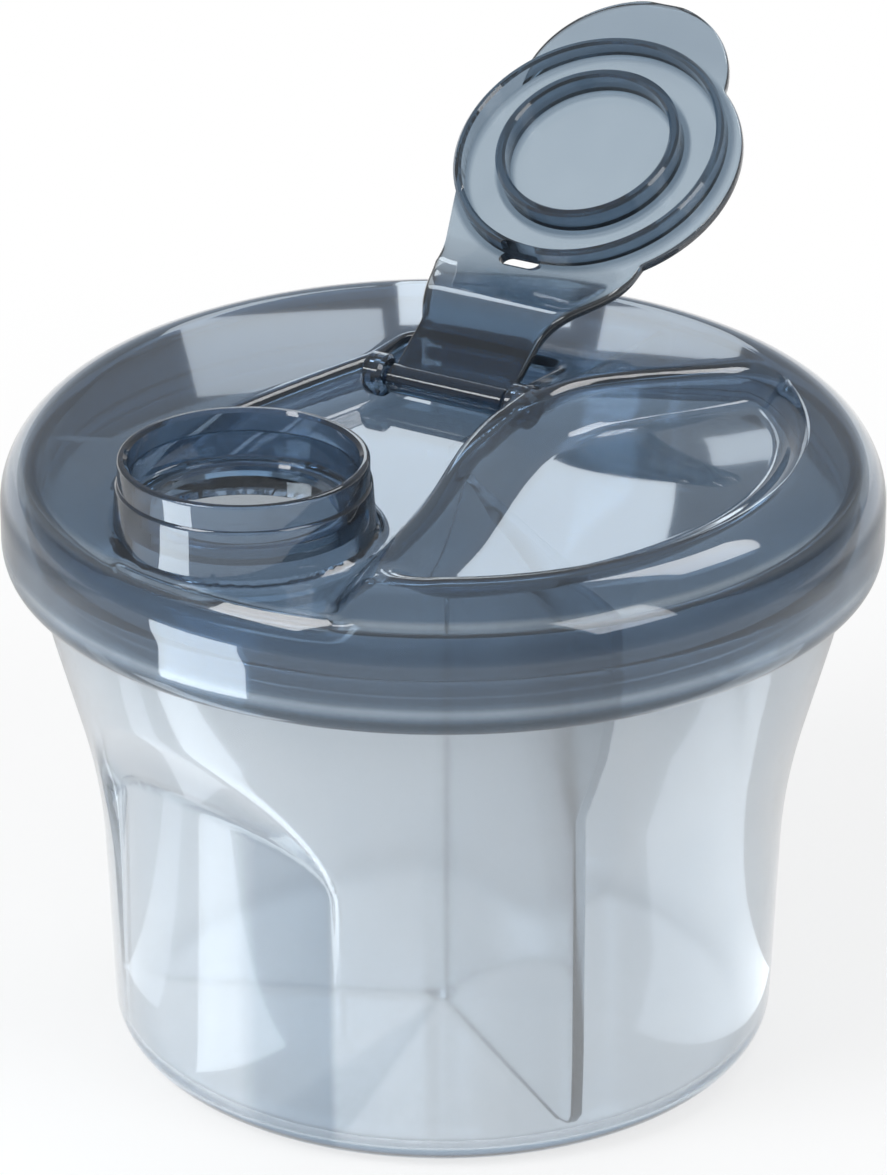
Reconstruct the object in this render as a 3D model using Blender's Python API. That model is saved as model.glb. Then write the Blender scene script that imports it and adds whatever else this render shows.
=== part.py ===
"""Formula dispenser: a cup with three compartments, a lifting three-vane divider, and a
push-on lid with a pouring spout and a hinged spout cap, shown with the cap swung open.

Metres, +Z up. The origin is the centre of the cup's base, on the surface it stands on.
Angles round the cup are measured from +X towards +Y, and -Y is the front.
"""

import math

import bmesh
import bpy
from mathutils import Matrix, Vector

# Shared sizes
GAP = 0.0003
OVERRUN = 0.004
TURN_SIDES = 72

# Cup: each height and radius is counted from the one below it
CUP_WALL = 0.0014
CUP_FLOOR = 0.0020
CUP_BASE_RADIUS = 0.0340
CUP_CORNER_RUN = 0.0043
CUP_CORNER_RADIUS = CUP_BASE_RADIUS + CUP_CORNER_RUN
CUP_CORNER_HEIGHT = 0.0045
CUP_BODY_TAPER = 0.0011
CUP_WAIST_RADIUS = CUP_CORNER_RADIUS + CUP_BODY_TAPER
CUP_WAIST_HEIGHT = 0.0325
CUP_FLARE_RUN = 0.0074
CUP_NECK_RADIUS = CUP_WAIST_RADIUS + CUP_FLARE_RUN
CUP_FLARE_RISE = 0.0270
CUP_NECK_HEIGHT = CUP_WAIST_HEIGHT + CUP_FLARE_RISE
CUP_NECK_LENGTH = 0.0109
CUP_HEIGHT = CUP_NECK_HEIGHT + CUP_NECK_LENGTH
CUP_RIM_ROUND = 0.0005
CUP_BEAD_RISE = 0.0050
CUP_BEAD_HEIGHT = CUP_NECK_HEIGHT + CUP_BEAD_RISE
CUP_BEAD_DEPTH = 0.0008
CUP_BEAD_HALF = 0.0011

# Two finger grips, sunk into opposite sides of the cup under arched ceilings
GRIP_ANGLES = (math.radians(-135), math.radians(45))
GRIP_HALF_ANGLE = math.radians(27.5)
GRIP_DEPTH = 0.0008
GRIP_RADIUS = CUP_WAIST_RADIUS - GRIP_DEPTH
GRIP_SPRING_HEIGHT = CUP_WAIST_HEIGHT
GRIP_ARCH_SHARE = 0.648
GRIP_CEILING_SHARE = 0.296
GRIP_ARCH_RISE = CUP_FLARE_RISE * GRIP_ARCH_SHARE
GRIP_CEILING_RISE = CUP_FLARE_RISE * GRIP_CEILING_SHARE
GRIP_STEPS = 16

# Divider
VANE_COUNT = 3
VANE_FIRST_ANGLE = math.radians(-66)
VANE_THICKNESS = 0.0014
VANE_DROP = 0.0001
VANE_TOP = CUP_HEIGHT - VANE_DROP
VANE_CLEARANCE = 0.0004
HUB_RADIUS = 0.0022
HUB_SIDES = 16

# Lid shell
LID_WALL = 0.0015
LID_OVERHANG = 0.0032
LID_RADIUS = CUP_NECK_RADIUS + LID_OVERHANG
LID_BOTTOM_RISE = 0.0005
LID_BOTTOM = CUP_NECK_HEIGHT + LID_BOTTOM_RISE
LID_LIP_RISE = 0.0030
LID_LIP_INSET = 0.0014
LID_SHOULDER_DROP = 0.0039
LID_SHOULDER_START = CUP_HEIGHT - LID_SHOULDER_DROP
LID_SHOULDER_RISE = 0.0084
LID_SHOULDER_RUN = 0.0085
LID_DOME_RISE = 0.0018
LID_BEAD_RISE = 0.0017
LID_BEAD_HEIGHT = LID_BOTTOM + LID_BEAD_RISE
LID_BEAD_DEPTH = 0.0006
LID_BEAD_HALF = 0.0008
SEAL_RIB_INSET = 0.0001
SEAL_RIB_WALL = 0.0011
SEAL_RIB_OUTER = CUP_NECK_RADIUS - SEAL_RIB_INSET
SEAL_RIB_INNER = SEAL_RIB_OUTER - SEAL_RIB_WALL
SEAL_RIB_LIFT = 0.00005

# Valley, scoop and the crest between them
VALLEY_RISE = 0.0018
VALLEY_FLOOR = CUP_HEIGHT + VALLEY_RISE
SCOOP_LIFT = 0.0002
SCOOP_FLOOR = VALLEY_FLOOR + SCOOP_LIFT
CREST_HALF_WIDTH = 0.0013
WALL_DRAFT = 0.0005
SCOOP_RADIUS_SHARE = 0.83
SCOOP_RADIUS = LID_RADIUS * SCOOP_RADIUS_SHARE
VALLEY_EXIT_ANGLE = math.radians(-139)
CREST_SHARES = (
    (-0.240, -1.080),
    (-0.178, -0.848),
    (-0.110, -0.660),
    (-0.030, -0.470),
    (0.062, -0.158),
    (0.132, 0.006),
    (0.274, 0.172),
    (0.416, 0.246),
    (0.558, 0.296),
    (0.698, 0.352),
    (0.800, 0.425),
    (0.960, 0.560),
)

# Spout
SPOUT_X_SHARE = -0.434
SPOUT_Y_SHARE = -0.462
SPOUT_X = LID_RADIUS * SPOUT_X_SHARE
SPOUT_Y = LID_RADIUS * SPOUT_Y_SHARE
SPOUT_LENGTH = 0.0089
SPOUT_RIM = VALLEY_FLOOR + SPOUT_LENGTH
SPOUT_RIM_RADIUS = 0.0138
SPOUT_CREASE_DROP = 0.0030
SPOUT_CREASE_STEP = 0.0003
SPOUT_SPREAD = 0.0007
SPOUT_BASE_RADIUS = SPOUT_RIM_RADIUS + SPOUT_SPREAD
SPOUT_WALL = 0.0010
SPOUT_BORE_TAPER = 0.0005
SPOUT_LEDGE_DROP = 0.0056
SPOUT_LEDGE_WIDTH = 0.0022
SPOUT_SIDES = 64

# Hinge and cap, placed from the spout: the arm runs from the hinge to the spout
CAP_REACH_SHARE = 0.81
CAP_REACH = LID_RADIUS * CAP_REACH_SHARE
CAP_HEADING = math.radians(-120)
CAP_OPEN_ANGLE = math.radians(148)
HINGE_LIFT = 0.0021
HINGE_HEIGHT = VALLEY_FLOOR + HINGE_LIFT
BARREL_RADIUS = 0.0017
PIN_RADIUS = 0.0011
PIN_LENGTH = 0.0019
PIN_CLEARANCE = 0.0002
PIN_SIDES = 24
EAR_THICKNESS = 0.0026
EAR_RADIUS = 0.0026
ARM_THICKNESS = 0.0014
ARM_DOME_SIDE = 0.0052
ARM_CREST_SIDE = 0.0102
ARM_WIDEN_START = 0.0085
ARM_CREST_WIDEN = 0.0018
ARM_SIDE_CLEARANCE = 0.0006
ARM_RISE_START = 0.0090
ARM_RISE_END = 0.0255
ARM_END = 0.0365
ARM_END_SIDE = 0.0159
ARM_STEPS = 24
VALLEY_BACK = 0.0075
VALLEY_BEND_REACH = 0.0205
VALLEY_BEND_SIDE = 0.0118
COLLAR_WALL = 0.0010
COLLAR_CLEARANCE = 0.0017
COLLAR_RADIUS = SPOUT_RIM_RADIUS + COLLAR_CLEARANCE + COLLAR_WALL
COLLAR_DEPTH = 0.0037
PLATE_SIDE = 0.0013
PLATE_BACK = 0.0008
PLATE_RADIUS = COLLAR_RADIUS + PLATE_BACK
PLUG_CLEARANCE = 0.0016
PLUG_WALL = 0.0012
PLUG_DEPTH = 0.0042
TAB_REACH = 0.0240
TAB_SIDE = 0.0012
TAB_RADIUS = 0.0130
SLOT_REACH = 0.0238
SLOT_SIDE = 0.0018
SLOT_LENGTH = 0.0052
SLOT_WIDTH = 0.0022

# Worked out from the sizes above
CAP_DIRECTION = Vector((math.cos(CAP_HEADING), math.sin(CAP_HEADING), 0))
HINGE_DIRECTION = Vector((math.sin(CAP_HEADING), -math.cos(CAP_HEADING), 0))
SPOUT_CENTRE = Vector((SPOUT_X, SPOUT_Y, 0))
HINGE_POINT = SPOUT_CENTRE - CAP_REACH * CAP_DIRECTION + Vector((0, 0, HINGE_HEIGHT))
PLATE_LOW = SPOUT_RIM + GAP - HINGE_HEIGHT
PLATE_HIGH = PLATE_LOW + ARM_THICKNESS
BORE_RADIUS = SPOUT_RIM_RADIUS - SPOUT_WALL
SPOUT_LEDGE_RADIUS = BORE_RADIUS - SPOUT_LEDGE_WIDTH
PLUG_RADIUS = BORE_RADIUS - PLUG_CLEARANCE

for old in list(bpy.data.objects):
    bpy.data.objects.remove(old)


def material(name, colour, roughness, metallic=0.0):
    """A plain Principled plastic."""
    made = bpy.data.materials.new(name)
    made.use_nodes = True
    shader = made.node_tree.nodes["Principled BSDF"]
    shader.inputs["Base Color"].default_value = (*colour, 1)
    shader.inputs["Roughness"].default_value = roughness
    shader.inputs["Metallic"].default_value = metallic
    return made


def piece(name, mesh, finish=None):
    """An object in the scene; one without a finish is a cutter, shown as wire."""
    made = bpy.data.objects.new(name, mesh)
    bpy.context.collection.objects.link(made)
    if finish:
        mesh.materials.append(finish)
    else:
        made.hide_render = True
        made.display_type = "WIRE"
    return made


def finished_mesh(name, shape):
    """Turns a bmesh into a smooth-shaded mesh whose faces all look outward."""
    bmesh.ops.recalc_face_normals(shape, faces=shape.faces)
    mesh = bpy.data.meshes.new(name)
    shape.to_mesh(mesh)
    shape.free()
    mesh.shade_smooth()
    mesh.set_sharp_from_angle(angle=math.radians(35))
    return mesh


def turned(name, outline, sides=TURN_SIDES):
    """A closed solid turned round Z from (radius, height) points; ends at radius 0 are poles."""
    shape = bmesh.new()
    rings = []
    for radius, height in outline:
        if radius == 0:
            rings.append([shape.verts.new((0, 0, height))])
            continue
        ring = []
        for side in range(sides):
            angle = 2 * math.pi * side / sides
            ring.append(shape.verts.new((radius * math.cos(angle), radius * math.sin(angle), height)))
        rings.append(ring)
    pairs = list(zip(rings, rings[1:]))
    if len(rings[0]) > 1:
        pairs.append((rings[-1], rings[0]))
    for below, above in pairs:
        for side in range(sides):
            after = (side + 1) % sides
            corners = [below[side % len(below)], below[after % len(below)]]
            corners += [above[after % len(above)], above[side % len(above)]]
            shape.faces.new(list(dict.fromkeys(corners)))
    return finished_mesh(name, shape)


def lofted(name, layers):
    """A closed solid through layers of equally many points, each end closed by a flat face."""
    shape = bmesh.new()
    rings = [[shape.verts.new(point) for point in layer] for layer in layers]
    count = len(rings[0])
    for below, above in zip(rings, rings[1:]):
        for start in range(count):
            after = (start + 1) % count
            shape.faces.new((below[start], below[after], above[after], above[start]))
    shape.faces.new(rings[0][::-1])
    shape.faces.new(rings[-1])
    return finished_mesh(name, shape)


def combine(target, tool, operation):
    """Adds a live Boolean to the target."""
    step = target.modifiers.new(f"{operation.lower()} {tool.name}", "BOOLEAN")
    step.operation = operation
    step.object = tool
    step.solver = "EXACT"
    return target


def arc(centre, radius, start, end, steps):
    """Points on a circle, both ends included."""
    points = []
    for step in range(steps + 1):
        angle = start + (end - start) * step / steps
        points.append((centre[0] + radius * math.cos(angle), centre[1] + radius * math.sin(angle)))
    return points


def ellipse_arc(centre, run, rise, start, end, steps):
    """Points on an upright ellipse, both ends included."""
    points = []
    for step in range(steps + 1):
        angle = start + (end - start) * step / steps
        points.append((centre[0] + run * math.cos(angle), centre[1] + rise * math.sin(angle)))
    return points


def smooth_curve(points, steps):
    """A Catmull-Rom curve through the points, without the first and the last one."""
    curve = []
    for before, start, end, after in zip(points, points[1:], points[2:], points[3:]):
        for step in range(steps):
            share = step / steps
            spot = []
            for a, b, c, d in zip(before, start, end, after):
                bend = (2 * a - 5 * b + 4 * c - d) * share + (3 * b - a - 3 * c + d) * share**2
                spot.append(b + (c - a + bend) * share / 2)
            curve.append(tuple(spot))
    curve.append(tuple(points[-2]))
    return curve


def offset(points, distance, closed=False):
    """Moves a line to its right-hand side, or a counter-clockwise outline outward."""
    moved = []
    last = len(points) - 1
    for index, point in enumerate(points):
        before = points[index - 1] if closed or index > 0 else point
        after = points[(index + 1) % len(points)] if closed or index < last else point
        along = (Vector(after) - Vector(before)).normalized()
        moved.append((point[0] + distance * along.y, point[1] - distance * along.x))
    return moved


def at_height(points, height):
    return [(x, y, height) for x, y in points]


def from_hinge(reach, side):
    """A plan point from its reach towards the spout and its side, positive towards the crest."""
    spot = HINGE_POINT + reach * CAP_DIRECTION - side * HINGE_DIRECTION
    return (spot.x, spot.y)


def cup_radius(height):
    """The cup's outer radius above its rounded corner, away from the grips."""
    stations = (
        (CUP_CORNER_HEIGHT, CUP_CORNER_RADIUS),
        (CUP_WAIST_HEIGHT, CUP_WAIST_RADIUS),
        (CUP_NECK_HEIGHT, CUP_NECK_RADIUS),
        (CUP_HEIGHT, CUP_NECK_RADIUS),
    )
    for (low, inner), (high, outer) in zip(stations, stations[1:]):
        if height <= high:
            return inner + (outer - inner) * (height - low) / (high - low)
    return CUP_NECK_RADIUS


def grip_block(name, middle, skin):
    """What a grip takes out of the cup, grown by a skin on its inner side, sides and ceiling."""
    inner = GRIP_RADIUS - skin
    outer = CUP_NECK_RADIUS + OVERRUN
    half = GRIP_HALF_ANGLE + skin / GRIP_RADIUS
    layers = []
    for step in range(GRIP_STEPS + 1):
        share = 2 * step / GRIP_STEPS - 1
        angle = middle + half * share
        arch = math.sqrt(max(0, 1 - share**2))
        spring = GRIP_SPRING_HEIGHT + skin
        low = spring + GRIP_CEILING_RISE * arch
        high = spring + GRIP_ARCH_RISE * arch
        slope = (high - low) / (cup_radius(high) - GRIP_RADIUS)
        far = low + slope * (outer - inner)
        section = ((inner, -OVERRUN), (inner, low), (outer, far), (outer, -OVERRUN))
        layers.append([(r * math.cos(angle), r * math.sin(angle), z) for r, z in section])
    return piece(name, lofted(name, layers))


def make_cup(finish):
    """The translucent cup: a turned shell with a flared neck, a snap bead and two grips."""
    corner = ellipse_arc(
        (CUP_BASE_RADIUS, CUP_CORNER_HEIGHT),
        CUP_CORNER_RADIUS - CUP_BASE_RADIUS,
        CUP_CORNER_HEIGHT,
        -math.pi / 2,
        0,
        5,
    )
    bead = [
        (CUP_NECK_RADIUS, CUP_BEAD_HEIGHT - CUP_BEAD_HALF),
        (CUP_NECK_RADIUS + CUP_BEAD_DEPTH, CUP_BEAD_HEIGHT),
        (CUP_NECK_RADIUS, CUP_BEAD_HEIGHT + CUP_BEAD_HALF),
    ]
    outside = [(0, 0), *corner, (CUP_WAIST_RADIUS, CUP_WAIST_HEIGHT), (CUP_NECK_RADIUS, CUP_NECK_HEIGHT)]
    outside += bead
    outside += [(CUP_NECK_RADIUS, CUP_HEIGHT - CUP_RIM_ROUND), (CUP_NECK_RADIUS - CUP_RIM_ROUND, CUP_HEIGHT)]
    outside.append((0, CUP_HEIGHT))
    hollow_corner = ellipse_arc(
        (CUP_BASE_RADIUS, CUP_CORNER_HEIGHT),
        CUP_CORNER_RADIUS - CUP_WALL - CUP_BASE_RADIUS,
        CUP_CORNER_HEIGHT - CUP_FLOOR,
        -math.pi / 2,
        0,
        4,
    )
    hollow = [(0, CUP_FLOOR), *hollow_corner, (CUP_WAIST_RADIUS - CUP_WALL, CUP_WAIST_HEIGHT)]
    hollow += [(CUP_NECK_RADIUS - CUP_WALL, CUP_NECK_HEIGHT), (CUP_NECK_RADIUS - CUP_WALL, CUP_HEIGHT + OVERRUN)]
    hollow.append((0, CUP_HEIGHT + OVERRUN))
    cup = piece("cup", turned("cup", outside), finish)
    inside = piece("cup_inside_cutter", turned("cup_inside_cutter", hollow))
    for number, middle in enumerate(GRIP_ANGLES):
        combine(inside, grip_block(f"grip_wall_{number}", middle, CUP_WALL), "DIFFERENCE")
        combine(cup, grip_block(f"grip_cutter_{number}", middle, 0), "DIFFERENCE")
    return combine(cup, inside, "DIFFERENCE")


def make_divider(finish):
    """Three upright vanes joined at a slim hub, shaped to lift out past the grips."""
    reach = CUP_WALL + VANE_CLEARANCE
    ceiling = GRIP_SPRING_HEIGHT + GRIP_CEILING_RISE + reach
    arch = GRIP_SPRING_HEIGHT + GRIP_ARCH_RISE + reach
    bottom = CUP_FLOOR + GAP
    taper = (CUP_WAIST_RADIUS - CUP_CORNER_RADIUS) / (CUP_WAIST_HEIGHT - CUP_CORNER_HEIGHT)
    grip_start = CUP_CORNER_HEIGHT + (GRIP_RADIUS - CUP_CORNER_RADIUS) / taper
    edge = [
        (0, bottom),
        (CUP_BASE_RADIUS - reach, bottom),
        (CUP_CORNER_RADIUS - reach, CUP_CORNER_HEIGHT + GAP),
        (GRIP_RADIUS - reach, grip_start),
        (GRIP_RADIUS - reach, ceiling),
        (cup_radius(arch) - reach, arch + VANE_CLEARANCE),
        (CUP_NECK_RADIUS - reach, CUP_NECK_HEIGHT + reach),
        (CUP_NECK_RADIUS - reach, VANE_TOP),
        (0, VANE_TOP),
    ]
    hub = turned("divider", [(0, bottom), (HUB_RADIUS, bottom), (HUB_RADIUS, VANE_TOP), (0, VANE_TOP)], HUB_SIDES)
    divider = piece("divider", hub, finish)
    for number in range(VANE_COUNT):
        angle = VANE_FIRST_ANGLE + 2 * math.pi * number / VANE_COUNT
        sides = []
        for side in (-VANE_THICKNESS / 2, VANE_THICKNESS / 2):
            sides.append([(radius, side, height) for radius, height in edge])
        vane = piece(f"vane_{number}", lofted(f"vane_{number}", sides))
        vane.rotation_euler.z = angle
        combine(divider, vane, "UNION")
    return divider


def lid_profile(wall):
    """The lid's shoulder and dome, from the skirt to the axis, set inward by a wall."""
    start = LID_RADIUS - LID_SHOULDER_RUN
    top = LID_SHOULDER_START + LID_SHOULDER_RISE
    points = ellipse_arc(
        (start, LID_SHOULDER_START), LID_SHOULDER_RUN - wall, LID_SHOULDER_RISE - wall, 0, math.pi / 2, 8
    )
    for share in (0.75, 0.5, 0.25, 0):
        points.append((start * share, top - wall + LID_DOME_RISE * (1 - share**2)))
    return points


def crest_line():
    """The S-shaped crest in plan, from the front edge to the right-hand edge."""
    return smooth_curve([(x * LID_RADIUS, y * LID_RADIUS) for x, y in CREST_SHARES], 4)


def valley_outline():
    """The sunken way from the hinge to the spout and out to the front edge, counter-clockwise."""
    right = ARM_CREST_SIDE + ARM_SIDE_CLEARANCE
    left = ARM_DOME_SIDE + ARM_SIDE_CLEARANCE
    far = LID_RADIUS + OVERRUN
    crest = offset(crest_line(), -CREST_HALF_WIDTH)
    crest = [point for point in crest if (Vector(point) - HINGE_POINT.xy).dot(CAP_DIRECTION.xy) > left]
    back = [from_hinge(0, right), from_hinge(-VALLEY_BACK, right), from_hinge(-VALLEY_BACK, -left)]
    side = [from_hinge(0, -left), from_hinge(VALLEY_BEND_REACH, -VALLEY_BEND_SIDE)]
    exit_point = far * Vector((math.cos(VALLEY_EXIT_ANGLE), math.sin(VALLEY_EXIT_ANGLE)))
    way = exit_point - SPOUT_CENTRE.xy
    start = CAP_HEADING + 3 * math.pi / 2
    leave = math.atan2(way.y, way.x) + 2 * math.pi
    hug = arc(SPOUT_CENTRE, SPOUT_BASE_RADIUS - SPOUT_WALL / 2, start, leave, 8)
    front_end = math.atan2(crest[0][1], crest[0][0])
    front = arc((0, 0), far, VALLEY_EXIT_ANGLE, front_end, 8)
    return crest + back + side + hug + front


def scoop_outline():
    """The finger scoop between the crest and an arc inside the lid's edge, counter-clockwise."""
    crest = offset(crest_line(), CREST_HALF_WIDTH)
    crest = [point for point in crest if Vector(point).length < SCOOP_RADIUS]
    start = math.atan2(crest[0][1], crest[0][0])
    end = math.atan2(crest[-1][1], crest[-1][0])
    edge = arc((0, 0), SCOOP_RADIUS, start, end, 24)
    return edge + crest[::-1]


def sunk_block(name, outline, floor, low_spread, high_spread):
    """A block on a flat floor up through the dome, spread from the outline at both ends."""
    top = LID_SHOULDER_START + LID_SHOULDER_RISE + LID_DOME_RISE + OVERRUN
    layers = [
        at_height(offset(outline, low_spread, closed=True), floor),
        at_height(offset(outline, high_spread, closed=True), top),
    ]
    return piece(name, lofted(name, layers))


def hinge_rod(name, radius, start, end, sides=PIN_SIDES):
    """A rod on the hinge axis, between two places beside the arm, positive towards the crest."""
    layers = []
    for place in (start, end):
        middle = HINGE_POINT - place * HINGE_DIRECTION
        ring = []
        for side in range(sides):
            angle = 2 * math.pi * side / sides
            spoke = math.cos(angle) * CAP_DIRECTION + math.sin(angle) * Vector((0, 0, 1))
            ring.append(middle + radius * spoke)
        layers.append(ring)
    return piece(name, lofted(name, layers))


def make_lid(finish):
    """The tinted lid: domed shell, valley, scoop, spout with its bore, and hinge sockets."""
    lip = ellipse_arc(
        (LID_RADIUS - LID_LIP_INSET, LID_BOTTOM + LID_LIP_RISE), LID_LIP_INSET, LID_LIP_RISE, -math.pi / 2, 0, 4
    )
    lid = piece("lid", turned("lid", [(0, LID_BOTTOM), *lip, *lid_profile(0)]), finish)
    inner = LID_RADIUS - LID_WALL
    bead = [
        (inner, LID_BEAD_HEIGHT - LID_BEAD_HALF),
        (inner - LID_BEAD_DEPTH, LID_BEAD_HEIGHT),
        (inner, LID_BEAD_HEIGHT + LID_BEAD_HALF),
    ]
    hollow = [(0, LID_BOTTOM - OVERRUN), (inner, LID_BOTTOM - OVERRUN), *bead]
    hollow += lid_profile(LID_WALL)
    cavity = piece("lid_cavity_cutter", turned("lid_cavity_cutter", hollow))
    rib_low = VALLEY_FLOOR - LID_WALL + SEAL_RIB_LIFT
    rib_high = LID_SHOULDER_START + LID_SHOULDER_RISE + OVERRUN
    rib = [(SEAL_RIB_OUTER, rib_low), (SEAL_RIB_OUTER, rib_high), (SEAL_RIB_INNER, rib_high), (SEAL_RIB_INNER, rib_low)]
    combine(cavity, piece("seal_rib", turned("seal_rib", rib)), "DIFFERENCE")
    for place, outline, floor in (
        ("valley", valley_outline(), VALLEY_FLOOR),
        ("scoop", scoop_outline(), SCOOP_FLOOR),
    ):
        hollow_block = sunk_block(f"{place}_cutter", outline, floor, -WALL_DRAFT, WALL_DRAFT)
        wall_block = sunk_block(f"{place}_wall", outline, floor - LID_WALL, LID_WALL, LID_WALL + WALL_DRAFT)
        combine(lid, hollow_block, "DIFFERENCE")
        combine(cavity, wall_block, "DIFFERENCE")
    combine(lid, cavity, "DIFFERENCE")

    left = -ARM_DOME_SIDE - GAP
    right = ARM_CREST_SIDE + GAP
    for number, (start, end) in enumerate(((left - EAR_THICKNESS, left), (right, right + EAR_THICKNESS))):
        combine(lid, hinge_rod(f"hinge_ear_{number}", EAR_RADIUS, start, end), "UNION")

    socket = PIN_LENGTH + GAP
    rod = hinge_rod("hinge_socket_cutter", PIN_RADIUS + PIN_CLEARANCE, left - socket, right + socket)
    combine(lid, rod, "DIFFERENCE")

    under = VALLEY_FLOOR - LID_WALL
    crease = SPOUT_RIM - SPOUT_CREASE_DROP
    tube = [
        (0, VALLEY_FLOOR - LID_WALL / 2),
        (SPOUT_BASE_RADIUS, VALLEY_FLOOR - LID_WALL / 2),
        (SPOUT_RIM_RADIUS + SPOUT_CREASE_STEP, crease),
        (SPOUT_RIM_RADIUS, crease),
        (SPOUT_RIM_RADIUS, SPOUT_RIM),
        (0, SPOUT_RIM),
    ]
    spout = piece("spout_tube", turned("spout_tube", tube, SPOUT_SIDES))
    spout.location = SPOUT_CENTRE
    combine(lid, spout, "UNION")
    ledge = SPOUT_RIM - SPOUT_LEDGE_DROP
    bore = [
        (0, under - OVERRUN),
        (BORE_RADIUS, under - OVERRUN),
        (BORE_RADIUS, ledge - LID_WALL),
        (SPOUT_LEDGE_RADIUS, ledge - LID_WALL),
        (SPOUT_LEDGE_RADIUS, ledge),
        (BORE_RADIUS - SPOUT_BORE_TAPER, ledge),
        (BORE_RADIUS + SPOUT_BORE_TAPER * OVERRUN / SPOUT_LEDGE_DROP, SPOUT_RIM + OVERRUN),
        (0, SPOUT_RIM + OVERRUN),
    ]
    hole = piece("spout_bore_cutter", turned("spout_bore_cutter", bore, SPOUT_SIDES))
    hole.location = SPOUT_CENTRE
    return combine(lid, hole, "DIFFERENCE")


def arm_low(reach):
    """The height of the arm's underside over the hinge axis: flat at the root, then an S-rise."""
    share = (reach - ARM_RISE_START) / (ARM_RISE_END - ARM_RISE_START)
    share = min(max(share, 0), 1)
    root = -ARM_THICKNESS / 2
    return root + (PLATE_LOW - root) * share**2 * (3 - 2 * share)


def arm_edges(reach):
    """The arm's edges at a reach, on the dome's side and on the crest's side."""
    bend_side = VALLEY_BEND_SIDE - ARM_SIDE_CLEARANCE
    share = max(0, reach - ARM_WIDEN_START) / (VALLEY_BEND_REACH - ARM_WIDEN_START)
    crest_side = ARM_CREST_SIDE + ARM_CREST_WIDEN * share
    dome_side = ARM_DOME_SIDE + (bend_side - ARM_DOME_SIDE) * share
    if reach > VALLEY_BEND_REACH:
        share = (reach - VALLEY_BEND_REACH) / (ARM_END - VALLEY_BEND_REACH)
        dome_side = bend_side + (ARM_END_SIDE - bend_side) * share
    return -dome_side, crest_side


def round_bar(name, radius, start, end, along, sides=PIN_SIDES):
    """A round bar between two places on local Y or Z."""
    shape = bmesh.new()
    length = end - start
    turn = Matrix.Rotation(-math.pi / 2, 4, "X") if along == "Y" else Matrix.Identity(4)
    middle = Vector((0, 0, (start + end) / 2))
    place = turn @ Matrix.Translation(middle)
    bmesh.ops.create_cone(
        shape, cap_ends=True, segments=sides, radius1=radius, radius2=radius, depth=length, matrix=place
    )
    return piece(name, finished_mesh(name, shape))


def make_cap(finish):
    """The cap in one moulding, made closed round its hinge and then swung open.

    Its X is the reach towards the spout and its Y the side towards the crest.
    """
    plug_low = PLATE_HIGH - PLUG_DEPTH
    collar_low = PLATE_HIGH - COLLAR_DEPTH
    outline = [
        (0, PLATE_LOW),
        (PLUG_RADIUS - PLUG_WALL, PLATE_LOW),
        (PLUG_RADIUS - PLUG_WALL, plug_low),
        (PLUG_RADIUS, plug_low),
        (PLUG_RADIUS, PLATE_LOW),
        (COLLAR_RADIUS - COLLAR_WALL, PLATE_LOW),
        (COLLAR_RADIUS - COLLAR_WALL, collar_low),
        (COLLAR_RADIUS, collar_low),
        (COLLAR_RADIUS, PLATE_HIGH),
        (0, PLATE_HIGH),
    ]
    disc = turned("spout_cap", outline, SPOUT_SIDES)
    disc.transform(Matrix.Translation((CAP_REACH, 0, 0)))
    cap = piece("spout_cap", disc, finish)

    layers = []
    for step in range(ARM_STEPS + 1):
        reach = ARM_END * step / ARM_STEPS
        dome_side, crest_side = arm_edges(reach)
        low = arm_low(reach)
        high = low + ARM_THICKNESS
        section = ((dome_side, low), (crest_side, low), (crest_side, high), (dome_side, high))
        layers.append([(reach, side, height) for side, height in section])
    arm = piece("cap_arm", lofted("cap_arm", layers))

    plate = round_bar("cap_plate", PLATE_RADIUS, PLATE_LOW, PLATE_HIGH, "Z", SPOUT_SIDES)
    plate.data.transform(Matrix.Translation((CAP_REACH - PLATE_BACK, PLATE_SIDE, 0)))
    tab = round_bar("cap_tab", TAB_RADIUS, PLATE_LOW, PLATE_HIGH, "Z", SPOUT_SIDES)
    tab.data.transform(Matrix.Translation((CAP_REACH + TAB_REACH - TAB_RADIUS, -TAB_SIDE, 0)))
    barrel = round_bar("cap_barrel", BARREL_RADIUS, -ARM_DOME_SIDE, ARM_CREST_SIDE, "Y")
    pins = round_bar("cap_pins", PIN_RADIUS, -ARM_DOME_SIDE - PIN_LENGTH, ARM_CREST_SIDE + PIN_LENGTH, "Y")
    for part in (plate, tab, arm, barrel, pins):
        combine(cap, part, "UNION")
    slot = piece("cap_slot_cutter", bpy.data.meshes.new("cap_slot_cutter"))
    shape = bmesh.new()
    bmesh.ops.create_cube(shape, size=1)
    size = Matrix.Diagonal((SLOT_WIDTH, SLOT_LENGTH, 2 * PLATE_HIGH, 1))
    shape.transform(Matrix.Translation((SLOT_REACH, -SLOT_SIDE, PLATE_LOW)) @ size)
    shape.to_mesh(slot.data)
    shape.free()
    combine(cap, slot, "DIFFERENCE")

    swing = Matrix.Rotation(CAP_OPEN_ANGLE, 4, HINGE_DIRECTION)
    place = Matrix.Translation(HINGE_POINT) @ swing @ Matrix.Rotation(CAP_HEADING, 4, "Z")
    for part in (cap, plate, tab, arm, barrel, pins, slot):
        part.matrix_world = place
    return cap


plastic_clear = material("cup_plastic", (0.62, 0.70, 0.76), 0.12)
plastic_vane = material("divider_plastic", (0.58, 0.66, 0.72), 0.15)
plastic_tint = material("lid_plastic", (0.09, 0.13, 0.20), 0.08)
plastic_cap = material("cap_plastic", (0.16, 0.21, 0.28), 0.08)
make_cup(plastic_clear)
make_divider(plastic_vane)
make_lid(plastic_tint)
make_cap(plastic_cap)
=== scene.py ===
import math

import bpy
import numpy as np
from mathutils import Matrix, Vector


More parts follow.
